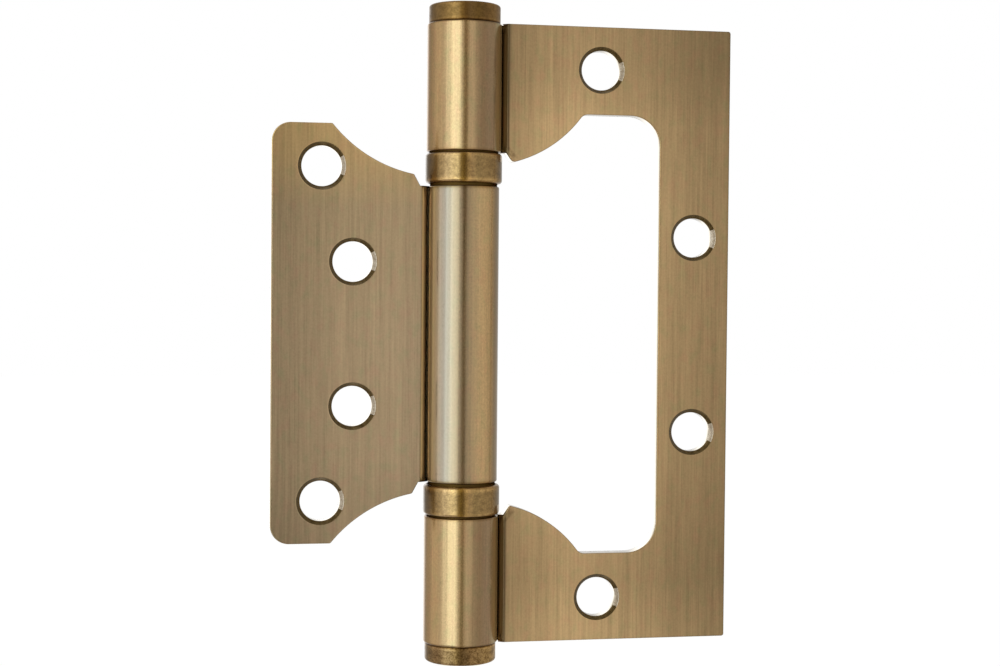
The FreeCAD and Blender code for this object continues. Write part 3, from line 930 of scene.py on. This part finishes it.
def plain_metal(name, light, dark, rough):
    """A machined metal with faint turning marks round the pin and small tone changes."""
    made, tree, shader = new_material(name)
    marks = noise(tree, (300, 300, 6000), 2.0, 0.6)
    link(tree, mix(tree, spread(tree, marks, 0.3, 0.7), dark, light), shader.inputs["Base Color"])
    shader.inputs["Metallic"].default_value = 1.0
    shader.inputs["Specular Tint"].default_value = light
    link(tree, spread(tree, marks, 0.3, 0.7, rough - 0.04, rough + 0.05), shader.inputs["Roughness"])
    return made


def use(piece, *materials):
    """Give a piece its materials, in the order of its faces' zones."""
    faces = piece.data.polygons
    zones = np.zeros(len(faces), np.int32)
    faces.foreach_get("material_index", zones)
    piece.data.materials.clear()
    for material in materials:
        piece.data.materials.append(material)
    faces.foreach_set("material_index", zones % len(materials))


def ray_share(tree, rays, first, *others):
    """One for rays of the named kinds, and zero for all others."""
    share = rays.outputs[first]
    for kind in others:
        share = maths(tree, "ADD", share, rays.outputs[kind], clamp=True)
    return share


def horizon(tree, place):
    """How bright the surroundings look towards a place, by its azimuth from the hinge."""
    way = add(tree, "ShaderNodeSeparateXYZ", {0: place})
    azimuth = maths(tree, "ARCTAN2", way.outputs[0], maths(tree, "MULTIPLY", way.outputs[1], -1.0))
    return ramp(tree, maths(tree, "MULTIPLY", azimuth, 180 / math.pi), HORIZON)


def studio_world():
    """White behind the object, with soft falls of light round the horizon in reflections and as its light."""
    world = bpy.data.worlds.new("studio")
    bpy.context.scene.world = world
    world.use_nodes = True
    tree = world.node_tree
    tree.nodes.clear()
    falls = horizon(tree, add(tree, "ShaderNodeTexCoord").outputs["Generated"])
    rays = add(tree, "ShaderNodeLightPath")
    seen = mix(tree, rays.outputs["Is Camera Ray"], falls, grey(1.0))
    direct = ray_share(tree, rays, "Is Camera Ray", "Is Glossy Ray", "Is Transmission Ray")
    backdrop = add(tree, "ShaderNodeBackground", {"Color": seen, "Strength": 1.0})
    fill = add(tree, "ShaderNodeBackground", {"Color": falls, "Strength": FILL_STRENGTH})
    both = add(tree, "ShaderNodeMixShader", {0: direct, 1: fill.outputs[0], 2: backdrop.outputs[0]})
    add(tree, "ShaderNodeOutputWorld", {0: both.outputs[0]})


def softbox(name, azimuth, elevation, distance, width, height, strength, tint):
    """An area lamp that faces the hinge. Azimuth 0 is in front and positive to the right.

    Its energy is its strength, which is how bright it looks, times pi and its area.
    """
    turn, rise = math.radians(azimuth), math.radians(elevation)
    away = np.array([math.sin(turn) * math.cos(rise), -math.cos(turn) * math.cos(rise), math.sin(rise)])
    lamp = bpy.data.lights.new(name, "AREA")
    lamp.shape = "RECTANGLE"
    lamp.size, lamp.size_y = width, height
    lamp.energy = strength * math.pi * width * height
    lamp.color = tint
    made = bpy.data.objects.new(name, lamp)
    made.matrix_world = Matrix.Translation(away * distance) @ (
        Matrix.Rotation(turn, 4, "Z") @ Matrix.Rotation(math.pi / 2 - rise, 4, "X")
    )
    made.visible_camera = False
    bpy.context.scene.collection.objects.link(made)


def pale_floor():
    """A wide white floor well below the hinge. Seen directly it is nearly all background, with a shadow."""
    half, level = FLOOR_HALF, FLOOR_LEVEL
    mesh = bpy.data.meshes.new("floor")
    corners = [(-half, -half, level), (half, -half, level), (half, half, level), (-half, half, level)]
    mesh.from_pydata(corners, [], [(0, 1, 2, 3)])
    floor = bpy.data.objects.new("floor", mesh)
    bpy.context.scene.collection.objects.link(floor)
    made, tree, shader = new_material("pale_floor")
    shader.inputs["Base Color"].default_value = grey(0.95)
    shader.inputs["Roughness"].default_value = 0.8
    rays = add(tree, "ShaderNodeLightPath")
    direct = ray_share(tree, rays, "Is Camera Ray", "Is Glossy Ray")
    falls = horizon(tree, add(tree, "ShaderNodeTexCoord").outputs["Object"])
    seen = mix(tree, rays.outputs["Is Camera Ray"], falls, grey(1.0))
    glow = add(tree, "ShaderNodeEmission", {"Color": seen, "Strength": FLOOR_GLOW})
    share = maths(tree, "MULTIPLY", direct, FLOOR_GLOW_SHARE)
    both = add(tree, "ShaderNodeMixShader", {0: share, 1: shader.outputs[0], 2: glow.outputs[0]})
    link(tree, both.outputs[0], tree.nodes["Material Output"].inputs[0])
    use(floor, made)


def place_camera():
    """The camera of the picture, turned about Z, dipped and then rolled about its own line of sight."""
    lens = bpy.data.cameras.new("camera")
    lens.lens, lens.sensor_width = LENS_LENGTH, SENSOR_WIDTH
    lens.clip_start, lens.clip_end = 0.01, 50.0
    camera = bpy.data.objects.new("camera", lens)
    camera.matrix_world = Matrix.Translation([value * MM for value in CAMERA_PLACE]) @ (
        Matrix.Rotation(-math.radians(CAMERA_TURN), 4, "Z")
        @ Matrix.Rotation(math.radians(90 - CAMERA_DIP), 4, "X")
        @ Matrix.Rotation(math.radians(CAMERA_ROLL), 4, "Z")
    )
    bpy.context.scene.collection.objects.link(camera)
    bpy.context.scene.camera = camera


def place_piece(piece, node, body, slot, *materials):
    """Put a finished piece on its body in the place of a node."""
    use(piece, *materials)
    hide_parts(node)
    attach(piece, body)


bpy.context.scene.view_settings.view_transform = "Standard"
place_camera()
studio_world()
pale_floor()
for name, values in LAMPS.items():
    softbox(name, *values)

# The bronzes carry painted light and shade along axes: highlights, dark reflected lines, and shade in grooves
# and seams
frame_bronze = brushed_bronze("frame_bronze", FRAME_LIGHT, FRAME_DARK, 0.3, FRAME_PAINTED_LIGHT)
door_bronze = brushed_bronze("door_bronze", DOOR_LIGHT, DOOR_DARK, 0.3, DOOR_PAINTED_LIGHT)
frame_knuckle_bronze = brushed_bronze(
    "frame_knuckle_bronze", FRAME_KNUCKLE_LIGHT, FRAME_KNUCKLE_DARK, 0.2, FRAME_KNUCKLE_PAINTED_LIGHT,
    coat=0.3, speckle=0.45, bands=0.02,
)
door_knuckle_bronze = brushed_bronze(
    "door_knuckle_bronze", DOOR_KNUCKLE_LIGHT, DOOR_KNUCKLE_DARK, 0.19, DOOR_KNUCKLE_PAINTED_LIGHT,
    coat=0.4, coat_ior=1.6, worn=DOOR_KNUCKLE_WORN, speckle=0.5, bands=0.02,
)
cut_bronze = cut_metal("cut_bronze", CUT_LIGHT, CUT_DARK, 0.15)
# Painted shade in the countersinks and a painted glint on their right sides
sink_shade_metal = cut_metal("sink_shade_metal", SINK_SHADE_LIGHT, SINK_SHADE_DARK, 0.35)
painted_glint_metal = cut_metal("painted_glint_metal", PAINTED_GLINT_LIGHT, PAINTED_GLINT_DARK, 0.35)
ring_bronze = grainy_bronze("ring_bronze", RING_LIGHT, RING_DARK, 0.22, RING_PAINTED_LIGHT, coat=0.3, mild=0.12)
top_bronze = grainy_bronze("top_bronze", TOP_LIGHT, TOP_DARK, 0.36, TOP_CAP_PAINTED_LIGHT, coat=0.1, mild=0.1)
bottom_bronze = grainy_bronze(
    "bottom_bronze", BOTTOM_LIGHT, BOTTOM_DARK, 0.3, BOTTOM_CAP_PAINTED_LIGHT, coat=0.1, mild=0.1
)
inner_metals = {
    "pin": plain_metal("pin_steel", STEEL_LIGHT, STEEL_DARK, 0.28),
    # The races' dark brown paints the shade in the gaps beside the sleeves
    "race": plain_metal("race_painted_shade", RACE_SHADE_LIGHT, RACE_SHADE_DARK, 0.5),
    "cage": plain_metal("cage_brass", BRASS_LIGHT, BRASS_DARK, 0.3),
    "ball_": plain_metal("ball_chrome", CHROME_LIGHT, CHROME_DARK, 0.1),
}

_, frame_high = box_mm("frame_leaf")
door_low, door_high = box_mm("door_leaf")
cap_low, cap_high = box_mm("top_cap")
sleeve_low, sleeve_high = box_mm("upper_bearing_sleeve")

frame_curves = strip_curves(FRAME_BORE, SHEET, FRAME_NECK_CORNER, frame_high[0], LOBE_FOOT_X)
door_curves = strip_curves(DOOR_BORE, DOOR_KNUCKLE_WALL, DOOR_NECK_CORNER, -door_low[0], SHOULDER_FOOT_X)
frame_edge = frame_outline(frame_high[0], frame_high[2], frame_curves)
door_edge = door_outline(-door_low[0], door_high[2], door_curves)
frame_leaf = leaf_mesh("frame_leaf_brushed", frame_edge, FRAME_HOLES, frame_curves, 1)
door_leaf = leaf_mesh("door_leaf_brushed", door_edge, DOOR_HOLES, door_curves, -1)
place_piece(
    frame_leaf, "frame_leaf", "frame", "bronze_leaf",
    frame_bronze, frame_knuckle_bronze, cut_bronze, sink_shade_metal, painted_glint_metal,
)
place_piece(
    door_leaf, "door_leaf", "door", "bronze_leaf",
    door_bronze, door_knuckle_bronze, cut_bronze, sink_shade_metal, painted_glint_metal,
)

seat = frame_high[2] - KNUCKLE_FACING
sleeve_radius = sleeve_high[0]
cap_section = cap_profile(cap_high[0], SHANK_RADIUS, seat, cap_low[2], cap_high[2])
sleeve_section = sleeve_profile(sleeve_radius, sleeve_radius - SLEEVE_WALL, sleeve_low[2], sleeve_high[2])
for node, section, sign, bronze in (
    ("top_cap", cap_section, 1, top_bronze),
    ("bottom_cap", cap_section, -1, bottom_bronze),
    ("upper_bearing_sleeve", sleeve_section, 1, ring_bronze),
    ("lower_bearing_sleeve", sleeve_section, -1, ring_bronze),
):
    piece = turned_mesh(node + "_turned", (section * (1, sign))[::sign])
    place_piece(piece, node, "frame", "bronze_turned", bronze)

for name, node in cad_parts.items():
    for part, material in inner_metals.items():
        if part in name and not node.hide_render:
            use(node, material)
